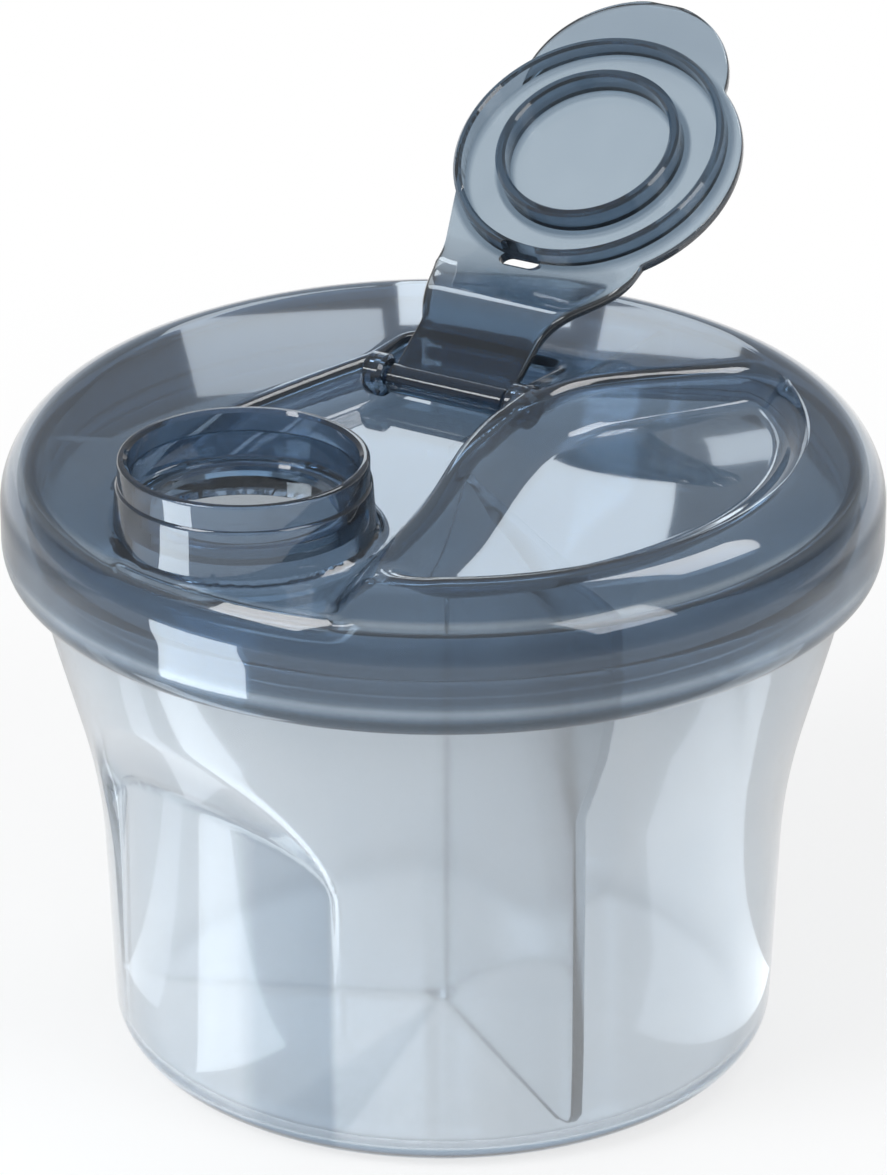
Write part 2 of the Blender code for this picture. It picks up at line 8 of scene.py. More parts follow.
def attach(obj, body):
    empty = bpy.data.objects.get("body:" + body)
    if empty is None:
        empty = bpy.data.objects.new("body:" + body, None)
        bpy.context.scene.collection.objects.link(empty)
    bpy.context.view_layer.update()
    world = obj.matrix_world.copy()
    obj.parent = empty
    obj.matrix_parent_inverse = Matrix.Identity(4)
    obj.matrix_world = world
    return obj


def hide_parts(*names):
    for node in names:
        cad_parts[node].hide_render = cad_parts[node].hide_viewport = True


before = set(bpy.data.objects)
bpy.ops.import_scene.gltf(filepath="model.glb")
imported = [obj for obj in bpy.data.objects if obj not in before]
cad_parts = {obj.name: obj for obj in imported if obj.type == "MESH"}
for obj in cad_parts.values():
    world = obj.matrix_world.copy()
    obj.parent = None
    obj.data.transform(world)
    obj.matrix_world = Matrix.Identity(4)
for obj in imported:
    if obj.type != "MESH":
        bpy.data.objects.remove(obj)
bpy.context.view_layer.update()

# Camera: a long lens, 25 degrees above the table, looking at the middle of the dispenser.
CAMERA_DISTANCE = 0.700
CAMERA_RISE = math.radians(25)
CAMERA_AIM = Vector((0.00004, 0, 0.0545))
CAMERA_LENS = 188.3

camera_data = bpy.data.cameras.new("camera")
camera_data.lens = CAMERA_LENS
camera_data.sensor_width = 36
camera_data.clip_start = 0.01
camera = bpy.data.objects.new("camera", camera_data)
bpy.context.collection.objects.link(camera)
camera_back = Vector((0, -math.cos(CAMERA_RISE), math.sin(CAMERA_RISE)))
camera.location = CAMERA_AIM + CAMERA_DISTANCE * camera_back
camera.rotation_mode = "QUATERNION"
camera.rotation_quaternion = (-camera_back).to_track_quat("-Z", "Y")
bpy.context.scene.camera = camera


# Studio: a white table top in a pale room, with three large soft lamps above, small windows in
# front and behind that show in the gloss of the lid, and low strips that show on the cup.
class Tone:
    """A value that varies over a surface; sums and products on it add Math nodes."""

    tree = None

    def __init__(self, socket):
        self.socket = socket

    @classmethod
    def add(cls, kind, settings=None, values=None, output=0):
        """One node: its settings first, then the values or links of its sockets."""
        node = cls.tree.nodes.new(kind)
        for name, value in (settings or {}).items():
            if name == "stops":
                ramp = node.color_ramp
                while len(ramp.elements) < len(value):
                    ramp.elements.new(0.5)
                for element, (place, shade) in zip(ramp.elements, value):
                    element.position = place
                    element.color = (*(shade if isinstance(shade, tuple) else (shade,) * 3), 1)
            else:
                setattr(node, name, value)
        for name, value in (values or {}).items():
            target = node.inputs[name]
            if isinstance(value, Tone):
                cls.tree.links.new(value.socket, target)
            else:
                target.default_value = value
        return cls(node.outputs[output]) if len(node.outputs) else node

    @classmethod
    def maths(cls, operation, first, second):
        return cls.add("ShaderNodeMath", {"operation": operation}, {0: first, 1: second})

    @classmethod
    def ramp(cls, value, *stops):
        """A colour ramp over a value; each stop is its place and its grey or its colour."""
        return cls.add("ShaderNodeValToRGB", {"stops": stops}, {0: value})

    @classmethod
    def step(cls, value, start, end, low, high):
        """A smooth change from low to high while a value goes from start to end."""
        return cls.add("ShaderNodeMapRange", {"interpolation_type": "SMOOTHSTEP"}, {
            "Value": value, "From Min": start, "From Max": end, "To Min": low, "To Max": high})

    @classmethod
    def vector(cls, operation, first, second=(0, 0, 0), output=1):
        """A Vector Math node; its second output is the one that gives a number."""
        return cls.add("ShaderNodeVectorMath", {"operation": operation}, {0: first, 1: second}, output)

    @classmethod
    def part(cls, point, axis):
        """One of a point's three coordinates."""
        return cls.add("ShaderNodeSeparateXYZ", values={0: point}, output=axis)

    def __add__(self, other):
        return Tone.maths("ADD", self, other)

    def __radd__(self, other):
        return Tone.maths("ADD", other, self)

    def __sub__(self, other):
        return Tone.maths("SUBTRACT", self, other)

    def __rsub__(self, other):
        return Tone.maths("SUBTRACT", other, self)

    def __mul__(self, other):
        return Tone.maths("MULTIPLY", self, other)

    def __rmul__(self, other):
        return Tone.maths("MULTIPLY", other, self)

    def larger(self, other):
        return Tone.maths("MAXIMUM", self, other)


CAMERA_RAY = 0
GLOSSY_RAY = 3
CLEAR_RAY = 6
OBJECT_POINT = 3
BACKWARD = 1
UPWARD = 2


def seen_by(ray):
    """One on rays of a kind, nought on the others."""
    return Tone.add("ShaderNodeLightPath", output=ray)


def seen_white():
    """One where the camera, a reflection or a clear surface looks at the surroundings."""
    return seen_by(CAMERA_RAY).larger(seen_by(GLOSSY_RAY)).larger(seen_by(CLEAR_RAY))


def surface_point():
    return Tone.add("ShaderNodeTexCoord", output=OBJECT_POINT)


def deselect_all():
    bpy.ops.object.select_all(action="DESELECT")


TABLE_SIZE = 8.0
TABLE_COLOUR = (0.93, 0.94, 0.95, 1)
TABLE_FADE_START = 0.09
TABLE_FADE_LENGTH = 0.16
TABLE_NEAR_WHITE = 0.70
BACK_SHADE_END = 0.25
deselect_all()
bpy.ops.mesh.primitive_plane_add(size=TABLE_SIZE)
table = bpy.context.active_object
table.name = "table_top"
table_paint = bpy.data.materials.new("table_paint")
table_paint.use_nodes = True
Tone.tree = table_paint.node_tree
Tone.tree.nodes.clear()
table_point = surface_point()
table_reach = Tone.vector("LENGTH", table_point)
table_fade = Tone.step(
    table_reach, TABLE_FADE_START, TABLE_FADE_START + TABLE_FADE_LENGTH, TABLE_NEAR_WHITE, 1.0)
# Gloss and clear surfaces see the table behind the pieces darker, so that their steep sides
# stand out from it.
behind = Tone.part(table_point, BACKWARD) * (1 / BACK_SHADE_END)
back_shade = Tone.ramp(behind, (0.12, 0.0), (0.36, 0.38), (0.62, 0.43), (0.92, 0.0))
table_matt = Tone.add("ShaderNodeBsdfDiffuse", values={"Color": TABLE_COLOUR})
table_white = Tone.add("ShaderNodeEmission", values={"Color": (1, 1, 1, 1), "Strength": 1.0})
table_black = Tone.add("ShaderNodeEmission", values={"Color": (0, 0, 0, 1), "Strength": 1.0})
table_seen = Tone.add("ShaderNodeMixShader", values={
    0: seen_white() * table_fade, 1: table_matt, 2: table_white})
table_mix = Tone.add("ShaderNodeMixShader", values={
    0: seen_by(GLOSSY_RAY) * back_shade, 1: table_seen, 2: table_black})
Tone.add("ShaderNodeOutputMaterial", values={"Surface": table_mix})
table.data.materials.append(table_paint)

room = bpy.data.worlds.new("room")
bpy.context.scene.world = room
room.use_nodes = True
Tone.tree = room.node_tree
Tone.tree.nodes.clear()
ROOM_LIGHT = 0.52
WALL_SHADE = 0.35
CEILING_SHADE = 0.72
# Gloss reflects pale grey walls that fade to a darker ceiling.
room_up = Tone.part(Tone.add("ShaderNodeTexCoord", output=0), UPWARD)
ceiling = Tone.step(room_up, -0.10, 0.22, WALL_SHADE, CEILING_SHADE)
room_strength = seen_white() * (1 - ROOM_LIGHT) + ROOM_LIGHT - seen_by(GLOSSY_RAY) * ceiling
room_shade = Tone.add("ShaderNodeBackground", values={"Color": (1, 1, 1, 1), "Strength": room_strength})
Tone.add("ShaderNodeOutputWorld", values={"Surface": room_shade})


def soft_lamp(name, place, aim, width, height, watts, colour=(1, 1, 1)):
    """A rectangular lamp that looks at a point and is seen only in reflections."""
    data = bpy.data.lights.new(name, "AREA")
    data.shape = "RECTANGLE"
    data.size = width
    data.size_y = height
    data.energy = watts
    data.color = colour
    lamp = bpy.data.objects.new(name, data)
    bpy.context.collection.objects.link(lamp)
    lamp.location = place
    lamp.rotation_mode = "QUATERNION"
    lamp.rotation_quaternion = (Vector(aim) - Vector(place)).to_track_quat("-Z", "Y")
    lamp.visible_camera = False
    return lamp


WINDOW_COLOUR = (0.84, 0.93, 1.0)
soft_lamp("key_lamp", (-0.75, -0.55, 1.05), (0, 0, 0.04), 0.55, 0.55, 7.2)
soft_lamp("fill_lamp", (0.80, -0.62, 0.95), (0, 0, 0.04), 0.5, 0.6, 3.3)
soft_lamp("back_lamp", (0.60, 0.75, 1.30), (0, 0, 0.06), 0.6, 0.4, 3.4)
WINDOWS = (
    ("window_lamp", (-0.125, -0.089, 0.034), (-0.02, -0.03, 0.045), 0.060, 0.064, 0.090),
    ("back_window", (-0.049, 0.585, 0.262), (-0.018, 0.014, 0.076), 0.062, 0.080, 0.019),
    ("side_window", (0.072, 0.610, 0.245), (0.030, 0.030, 0.075), 0.045, 0.050, 0.010),
    ("scoop_window", (-0.011, 0.532, 0.312), (0, -0.02, 0.072), 0.070, 0.045, 0.024),
    ("low_window", (0.012, 0.560, 0.185), (0.03, -0.02, 0.075), 0.050, 0.090, 0.030),
)
for window_name, place, aim, width, height, watts in WINDOWS:
    soft_lamp(window_name, place, aim, width, height, watts, WINDOW_COLOUR)
STRIP_HEIGHT = 0.001
STRIPS = (
    ("left_strip", -0.098, -0.004, 0.100, 0.016, 0.0028),
    ("grip_strip", -0.070, -0.036, 0.068, 0.022, 0.0095),
    ("right_strip", 0.092, -0.016, 0.100, 0.046, 0.0120),
)
for strip_name, x, y, width, height, watts in STRIPS:
    soft_lamp(strip_name, (x, y, STRIP_HEIGHT), (x, y, 0.1), width, height, watts, WINDOW_COLOUR)


# Cup: one translucent moulding with a round foot, a straight body that flares to a narrow
# neck, and two finger grips pressed into opposite sides under arched ceilings.
CUP_WALL = 0.0014
CUP_FLOOR = 0.0020
CUP_TOP = 0.0704
CUP_FOOT = 0.0340
CUP_CORNER_RADIUS = 0.0383
CUP_CORNER_HEIGHT = 0.0045
CUP_WAIST = (0.0394, 0.0325)
CUP_NECK = (0.0468, 0.0595)
CUP_SIDES = 400
GRIP_MIDDLES = (math.radians(-135), math.radians(45))
GRIP_HALF_ANGLE = math.radians(27.5)
GRIP_RADIUS = 0.0386
GRIP_ARCH_RISE = 0.0175
GRIP_CEILING_RISE = 0.0080
GRIP_EDGE_ROUND = 0.0005
GRIP_SOFTNESS = 0.00015
SMOOTH_ANGLE = math.radians(40)


def turned_piece(name, outline, sides, closed=False):
    """Turns an outline of (radius, height) points round the Z axis and merges the poles."""
    deselect_all()
    bpy.ops.mesh.primitive_circle_add(vertices=len(outline), radius=1)
    shape = bpy.context.active_object
    shape.name = name
    for vertex, (radius, height) in zip(shape.data.vertices, outline):
        vertex.co = (radius, 0, height)
    last = len(outline) - 1
    for edge in shape.data.edges:
        edge.select = not closed and set(edge.vertices) == {0, last}
    for vertex in shape.data.vertices:
        vertex.select = not closed and vertex.index in (0, last)
    bpy.ops.object.mode_set(mode="EDIT")
    bpy.ops.mesh.select_mode(type="EDGE")
    if not closed:
        bpy.ops.mesh.delete(type="EDGE")
    bpy.ops.mesh.select_all(action="SELECT")
    bpy.ops.mesh.spin(steps=sides, angle=2 * math.pi, center=(0, 0, 0), axis=(0, 0, 1))
    bpy.ops.mesh.select_all(action="SELECT")
    bpy.ops.mesh.remove_doubles(threshold=0.000005)
    bpy.ops.mesh.select_all(action="SELECT")
    bpy.ops.mesh.normals_make_consistent(inside=False)
    bpy.ops.object.mode_set(mode="OBJECT")
    bpy.ops.object.shade_smooth_by_angle(angle=SMOOTH_ANGLE)
    return shape


def curve_points(centre, run, rise, start, end, steps):
    """Points on an upright ellipse, with angles in degrees and both ends included."""
    angles = np.radians(np.linspace(start, end, steps + 1))
    return [(centre[0] + run * math.cos(a), centre[1] + rise * math.sin(a)) for a in angles]


def line_points(start, end, steps):
    """Points along a straight line, without its start."""
    return [tuple(np.array(start) + (np.array(end) - start) * k / steps) for k in range(1, steps + 1)]


def eased(value):
    """A smooth step from nought to one."""
    value = np.clip(value, 0, 1)
    return value**2 * (3 - 2 * value)


def vertex_array(shape):
    spots = np.empty(len(shape.data.vertices) * 3)
    shape.data.vertices.foreach_get("co", spots)
    return spots.reshape(-1, 3)


def place_vertices(shape, spots):
    shape.data.vertices.foreach_set("co", spots.astype(np.float32).ravel())
    shape.data.update()


BEAD_LOW = 0.0632
BEAD_HIGH = 0.0656
BEAD_RUN = 0.0007
BEAD_RISE = 0.0011
LIP_RISE = 0.0005
bead_middle = (CUP_NECK[0], (BEAD_LOW + BEAD_HIGH) / 2)
neck_inside = (CUP_NECK[0] - CUP_WALL, CUP_NECK[1])
waist_inside = (CUP_WAIST[0] - CUP_WALL, CUP_WAIST[1])
corner_inside = (CUP_CORNER_RADIUS - CUP_WALL, CUP_CORNER_HEIGHT)
foot_corner = (CUP_FOOT, CUP_CORNER_HEIGHT)
cup_outline = [(0, 0), *line_points((0, 0), (CUP_FOOT, 0), 10)]
cup_outline += curve_points(foot_corner, CUP_CORNER_RADIUS - CUP_FOOT, CUP_CORNER_HEIGHT, -82, 0, 10)
cup_outline += line_points((CUP_CORNER_RADIUS, CUP_CORNER_HEIGHT), CUP_WAIST, 34)
cup_outline += line_points(CUP_WAIST, CUP_NECK, 40)
cup_outline += line_points(CUP_NECK, (CUP_NECK[0], BEAD_LOW), 4)
cup_outline += curve_points(bead_middle, BEAD_RUN, BEAD_RISE, -90, 90, 8)
cup_outline += line_points((CUP_NECK[0], BEAD_HIGH), (CUP_NECK[0], CUP_TOP - 0.0004), 4)
cup_outline += curve_points(
    (CUP_NECK[0] - CUP_WALL / 2, CUP_TOP - LIP_RISE), CUP_WALL / 2, LIP_RISE, 15, 165, 8)
cup_outline += line_points((neck_inside[0], CUP_TOP - 0.0006), neck_inside, 6)
cup_outline += line_points(neck_inside, waist_inside, 40)
cup_outline += line_points(waist_inside, corner_inside, 34)
cup_outline += curve_points(
    foot_corner, corner_inside[0] - CUP_FOOT, CUP_CORNER_HEIGHT - CUP_FLOOR, -5, -90, 8)
cup_outline += line_points((CUP_FOOT, CUP_FLOOR), (0, CUP_FLOOR), 10)
cup = turned_piece("cup_body", cup_outline, CUP_SIDES)

# The flare's two corners are eased, then each grip draws both skins of the wall inward.
cup_spots = vertex_array(cup)
cup_radii = np.hypot(cup_spots[:, 0], cup_spots[:, 1])
cup_turn = np.arctan2(cup_spots[:, 1], cup_spots[:, 0])
height = cup_spots[:, 2]
flare_slope = (CUP_NECK[0] - CUP_WAIST[0]) / (CUP_NECK[1] - CUP_WAIST[1])
body_slope = (CUP_WAIST[0] - CUP_CORNER_RADIUS) / (CUP_WAIST[1] - CUP_CORNER_HEIGHT)
body_skin = np.interp(height, (0, CUP_CORNER_HEIGHT, CUP_WAIST[1], CUP_NECK[1], CUP_TOP),
                      (CUP_CORNER_RADIUS, CUP_CORNER_RADIUS, CUP_WAIST[0], CUP_NECK[0], CUP_NECK[0]))
FLARE_EASE = 0.0085
for bend, turn_in in ((CUP_WAIST[1], flare_slope - body_slope), (CUP_NECK[1], -flare_slope)):
    near = np.clip(1 - np.abs(height - bend) / FLARE_EASE, 0, 1)
    shift = turn_in * FLARE_EASE / 4 * near**2
    wall_part = (height > CUP_CORNER_HEIGHT) & (cup_radii > CUP_FOOT)
    cup_radii = cup_radii + np.where(wall_part, shift, 0)
    body_skin = body_skin + shift
for middle in GRIP_MIDDLES:
    across = (cup_turn - middle + math.pi) % (2 * math.pi) - math.pi
    share = np.clip(across / GRIP_HALF_ANGLE, -1, 1)
    arch = np.sqrt(1 - share**2)
    ceiling = CUP_WAIST[1] + GRIP_CEILING_RISE * arch
    crown = CUP_WAIST[1] + GRIP_ARCH_RISE * arch
    crown_skin = CUP_WAIST[0] + (crown - CUP_WAIST[1]) * flare_slope
    lean = (crown_skin - GRIP_RADIUS) / np.maximum(crown - ceiling, 0.0001)
    grip_skin = GRIP_RADIUS + np.maximum(height - ceiling, 0) * lean
    depth = body_skin - grip_skin
    depth = (depth + np.sqrt(depth**2 + GRIP_SOFTNESS**2)) / 2 * (depth > -0.002)
    inside = eased((GRIP_HALF_ANGLE - np.abs(across)) * GRIP_RADIUS / GRIP_EDGE_ROUND)
    low_edge = np.clip(height / CUP_CORNER_HEIGHT, 0, 1)
    wall_part = cup_radii > CUP_FOOT
    cup_radii = cup_radii - np.where(wall_part, depth * inside * low_edge, 0)
cup_spots[:, 0] = cup_radii * np.cos(cup_turn)
cup_spots[:, 1] = cup_radii * np.sin(cup_turn)
place_vertices(cup, cup_spots)


PLASTIC_IOR = 1.45
PLASTIC_COAT = 0.6
PLASTIC_COAT_ROUGHNESS = 0.02
GRAIN_PER_METRE = 700.0
FLOW_PER_METRE = (150, 150, 12)
ROUGHNESS_SPREAD = 0.03


def clear_plastic(name, body, deep, clear_share, roughness, cloud_size, depth_colour, depth_density):
    """A see-through moulded plastic, faintly clouded and streaked by its flow in the mould."""
    made = bpy.data.materials.new(name)
    made.use_nodes = True
    Tone.tree = made.node_tree
    shader = Tone.tree.nodes["Principled BSDF"]
    point = surface_point()
    stretched = Tone.add("ShaderNodeMapping", values={"Vector": point, "Scale": FLOW_PER_METRE})
    cloud, grain, flow = (
        Tone.add("ShaderNodeTexNoise", values={"Vector": where, "Scale": scale, "Detail": detail})
        for where, scale, detail in (
            (point, 1 / cloud_size, 3.0), (point, GRAIN_PER_METRE, 2.0), (stretched, 1.0, 2.0)))
    colour = Tone.ramp(cloud * 0.6 + flow * 0.4, (0.34, deep), (0.66, body))
    skin = grain * ROUGHNESS_SPREAD + cloud * ROUGHNESS_SPREAD + (roughness - ROUGHNESS_SPREAD)
    bump = Tone.add("ShaderNodeBump", values={
        "Strength": 0.012, "Distance": 0.0001, "Height": grain * 0.1 + flow * 0.9})
    for socket, value in (("Base Color", colour), ("Roughness", skin), ("Normal", bump)):
        Tone.tree.links.new(value.socket, shader.inputs[socket])
    shader.inputs["IOR"].default_value = PLASTIC_IOR
    shader.inputs["Transmission Weight"].default_value = clear_share
    shader.inputs["Coat Weight"].default_value = PLASTIC_COAT
    shader.inputs["Coat Roughness"].default_value = PLASTIC_COAT_ROUGHNESS
    depth = Tone.add("ShaderNodeVolumeAbsorption", values={
        "Color": (*depth_colour, 1), "Density": depth_density})
    Tone.tree.links.new(depth.socket, Tone.tree.nodes["Material Output"].inputs["Volume"])
    return made


def tint(plastic, share, colour):
    """Mixes a colour into a plastic by a share that varies over its surface."""
    base = plastic.node_tree.nodes["Principled BSDF"].inputs["Base Color"]
    plain = Tone(base.links[0].from_socket)
    mixed = Tone.add("ShaderNodeMix", {"data_type": "RGBA"}, {
        0: share, 6: plain, 7: (*colour, 1)}, output=2)
    Tone.tree.links.new(mixed.socket, base)


cup_plastic = clear_plastic(
    "cup_plastic", (0.96, 0.975, 0.99), (0.91, 0.94, 0.97), 0.87, 0.10, 0.020, (0.14, 0.35, 0.52), 115.0)
# Painted shade darkens the grip in front under its arched ceiling and beside its upright edge.
# Its share runs from -1 to 1 across it, and its level from 0 at the waist to 1 at the arch.
cup_point = surface_point()
grip_way = Vector((math.cos(GRIP_MIDDLES[0]), math.sin(GRIP_MIDDLES[0]), 0))
grip_ahead = Tone.vector("DOT_PRODUCT", cup_point, tuple(grip_way))
grip_aside = Tone.vector("DOT_PRODUCT", cup_point, (-grip_way.y, grip_way.x, 0))
grip_share = Tone.maths("ARCTAN2", grip_aside, grip_ahead) * (1 / GRIP_HALF_ANGLE)
grip_arch = Tone.maths("POWER", 1 - grip_share * grip_share, 0.5)
above_waist = (Tone.part(cup_point, UPWARD) - CUP_WAIST[1]) * (1 / GRIP_ARCH_RISE)
grip_level = Tone.maths("DIVIDE", above_waist, grip_arch)
# Painted shade beside the grip's upright edge and along its arch, mixed into the cup's colour below.
painted_edge_shade = Tone.ramp(grip_share, (0.28, 0.0), (0.45, 0.8), (0.93, 1.0), (0.98, 0.0))
below_arch = Tone.ramp(grip_level, (0.42, 1.0), (0.48, 0.0))
painted_arch_shade = Tone.ramp(grip_level, (0.38, 0.0), (0.46, 1.0), (0.66, 0.9), (0.96, 0.0))
tint(cup_plastic, painted_edge_shade * below_arch + painted_arch_shade, (0.62, 0.68, 0.74))
cup.data.materials.append(cup_plastic)
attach(cup, "cup")
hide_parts("cup")


# Divider: one clear moulding of three upright vanes joined at a slim hub; it stands loose
# on the cup's floor and lifts out.
VANE_ANGLES = (math.radians(-66), math.radians(54), math.radians(174))
VANE_THICKNESS = 0.0014
VANE_BOTTOM = 0.0023
VANE_TOP = 0.0703
VANE_EDGE = (
    (0, VANE_BOTTOM), (0.0322, VANE_BOTTOM), (0.0352, 0.0032), (0.0365, 0.0048), (0.0368, 0.0118),
    (0.0368, 0.0423), (0.0421, 0.0522), (0.0450, 0.0613), (0.0450, VANE_TOP), (0, VANE_TOP),
)
VANE_EDGE_ROUND = 0.00035
VANE_IOR = 1.15
HUB_RADIUS = 0.0022
HUB_SIDES = 32
HUB_EASE = 0.0004


def apply_modifier(piece, kind, **settings):
    """Adds one modifier with its settings and applies it."""
    bpy.context.view_layer.objects.active = piece
    step = piece.modifiers.new(kind.lower(), kind)
    for key, value in settings.items():
        setattr(step, key, value)
    bpy.ops.object.modifier_apply(modifier=step.name)


def shade_smooth(piece, degrees):
    """Shades a piece smooth where its faces meet at less than an angle."""
    deselect_all()
    piece.select_set(True)
    bpy.context.view_layer.objects.active = piece
    bpy.ops.object.shade_smooth_by_angle(angle=math.radians(degrees))


def combine(piece, tool, operation):
    """Joins or cuts a piece with another solid, which is used up."""
    apply_modifier(piece, "BOOLEAN", operation=operation, object=tool, solver="EXACT")
    bpy.data.objects.remove(tool)


divider = turned_piece("divider_vanes", [
    (0, VANE_BOTTOM), (HUB_RADIUS - HUB_EASE, VANE_BOTTOM), (HUB_RADIUS, VANE_BOTTOM + HUB_EASE),
    (HUB_RADIUS, VANE_TOP - HUB_EASE), (HUB_RADIUS - HUB_EASE, VANE_TOP), (0, VANE_TOP)], HUB_SIDES)
for vane_angle in VANE_ANGLES:
    deselect_all()
    bpy.ops.mesh.primitive_circle_add(vertices=len(VANE_EDGE), radius=1, fill_type="NGON")
    vane = bpy.context.active_object
    for vertex, (radius, level) in zip(vane.data.vertices, VANE_EDGE):
        vertex.co = (radius, 0, level)
    apply_modifier(vane, "SOLIDIFY", thickness=VANE_THICKNESS, offset=0)
    apply_modifier(vane, "BEVEL", width=VANE_EDGE_ROUND, segments=3, limit_method="ANGLE")
    vane.data.transform(Matrix.Rotation(vane_angle, 4, "Z"))
    combine(divider, vane, "UNION")
shade_smooth(divider, 35)
vane_plastic = clear_plastic(
    "vane_plastic", (0.98, 0.99, 1.0), (0.96, 0.975, 0.99), 0.98, 0.08, 0.016, (0.14, 0.34, 0.48), 14.0)
vane_shader = vane_plastic.node_tree.nodes["Principled BSDF"]
vane_shader.inputs["IOR"].default_value = VANE_IOR
vane_shader.inputs["Coat Weight"].default_value = 0.0
divider.data.materials.append(vane_plastic)
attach(divider, "divider")
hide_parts("divider")


# Lid: one tinted moulding, a domed shell with a skirt that presses over the cup's neck. A
# valley for the cap's arm and a finger scoop are sunk into the dome, with an S-shaped crest
# between them, and the pouring spout stands up out of the valley.
LID_WALL = 0.0015
LID_RADIUS = 0.0500
LID_BOTTOM = 0.0600
LID_SHOULDER_START = 0.0665
LID_SHOULDER_RISE = 0.0084
LID_SHOULDER_RUN = 0.0085
LID_DOME_RISE = 0.0018
LID_SIDES = 360
SKIRT_END = 0.0632
LID_OUTER_ROLL = (0.0012, 0.0026)
LID_INNER_ROLL = (0.0002, 0.0003)
VALLEY_FLOOR = 0.0722
SCOOP_FLOOR = 0.0723
SCOOP_RADIUS = 0.0415
SCOOP_RISE = 0.0012
SCOOP_RISE_START = 0.004
SCOOP_RISE_RUN = 0.03
SCOOP_START = 0.0003
SCOOP_SLOPE = 0.0060
SCOOP_EDGE_SLOPE = 0.0042
SPOUT_PLACE = Vector((-0.0217, -0.0231, 0))
SPOUT_RIM = 0.0811
SPOUT_RADIUS = 0.0138
SPOUT_BASE_RADIUS = 0.0145
BORE_RADIUS = 0.0128
LEDGE_RADIUS = 0.0106
LEDGE_HEIGHT = 0.0755
CREST_KNOTS = (
    (-0.01200, -0.05400), (-0.00890, -0.04240), (-0.00550, -0.03300), (-0.00150, -0.02350),
    (0.00310, -0.00790), (0.00660, 0.00030), (0.01370, 0.00860), (0.02080, 0.01230),
    (0.02790, 0.01480), (0.03490, 0.01760), (0.04000, 0.02125), (0.04800, 0.02800),
)
CREST_HALF_WIDTH = 0.0013
CREST_FLANK_START = 0.0022
CREST_FLANK_RUN = 0.0030
CAP_TURN = math.radians(-120)
CAP_REACH = 0.0405
HINGE_HEIGHT = 0.0743
CAP_WAY = Vector((math.cos(CAP_TURN), math.sin(CAP_TURN), 0))
HINGE_WAY = Vector((math.sin(CAP_TURN), -math.cos(CAP_TURN), 0))
HINGE_PLACE = SPOUT_PLACE - CAP_REACH * CAP_WAY + Vector((0, 0, HINGE_HEIGHT))
ARM_DOME_SIDE = 0.0052
ARM_CREST_SIDE = 0.0102
ARM_ROOM = 0.0006
VALLEY_EXIT = math.radians(-139)
VALLEY_BACK = -0.0075
VALLEY_SLOPE = 0.0020
VALLEY_EXTRA_SLOPE = 0.0012
PAST_LID = LID_RADIUS + 0.004
HUG_RADIUS = 0.0140
ARM_WIDE_REACH = 0.0205
ARM_WIDE_SIDE = 0.0112
WALL_END_RADIUS = 0.0465
VALLEY_WALL_MARGIN = 0.85
SCOOP_WALL_MARGIN = 0.65
SMOOTHING_ROUNDS = 12
FILLET_RISE = 0.0009
FILLET_START = -0.0003
FILLET_RUN = 0.0016
FILLET_INNER_END = -0.0012


def shell_height(radius):
    """The dome's and shoulder's height over the table at a distance from the axis."""
    dome = LID_RADIUS - LID_SHOULDER_RUN
    across = np.clip((radius - dome) / LID_SHOULDER_RUN, 0, 1)
    shoulder = LID_SHOULDER_START + LID_SHOULDER_RISE * np.sqrt(1 - across**2)
    crown = LID_DOME_RISE * (1 - np.clip(radius / dome, 0, 1) ** 2)
    return shoulder + crown


def knot_curve(knots, steps):
    """A smooth curve through the knots, without the first and the last one."""
    points = []
    for a, b, c, d in zip(knots, knots[1:], knots[2:], knots[3:]):
        a, b, c, d = (np.array(knot) for knot in (a, b, c, d))
        for step in range(steps):
            t = step / steps
            bow = 2 * a - 5 * b + 4 * c - d
            twist = 3 * b - a - 3 * c + d
            points.append(b + ((c - a) + (bow + twist * t) * t) * t / 2)
    points.append(np.array(knots[-2]))
    return np.array(points)


def side_step(points, distance):
    """Moves an open line to its right-hand side."""
    along = np.gradient(points, axis=0)
    along /= np.hypot(along[:, 0], along[:, 1])[:, None]
    return points + distance * np.stack([along[:, 1], -along[:, 0]], 1)


def line_distance(spots, line):
    """The distance from each plan point to a line of points."""
    best = np.full(len(spots), 1.0)
    for start, end in zip(line, line[1:]):
        way = end - start
        t = np.clip((spots - start) @ way / max(way @ way, 1e-18), 0, 1)
        best = np.minimum(best, np.hypot(*(spots - start - t[:, None] * way).T))
    return best


def signed_distance(spots, outline):
    """The distance to a closed outline, negative inside it."""
    loop = np.vstack([outline, outline[:1]])
    inside = np.zeros(len(spots), bool)
    for (x0, y0), (x1, y1) in zip(loop, loop[1:]):
        if y0 == y1:
            continue
        crosses = (y0 > spots[:, 1]) != (y1 > spots[:, 1])
        inside ^= crosses & (spots[:, 0] < (x1 - x0) * (spots[:, 1] - y0) / (y1 - y0) + x0)
    return line_distance(spots, loop) * np.where(inside, -1, 1)


def beside_hinge(reach, side):
    """A plan point from its reach towards the spout and its side, positive towards the crest."""
    spot = HINGE_PLACE + reach * CAP_WAY - side * HINGE_WAY
    return np.array((spot.x, spot.y))


def arc_points(middle, radius, start, end, count):
    """Plan points on an arc, as many as asked for, with both ends included."""
    return [np.array(middle) + radius * np.array((math.cos(a), math.sin(a)))
            for a in np.linspace(start, end, count)]


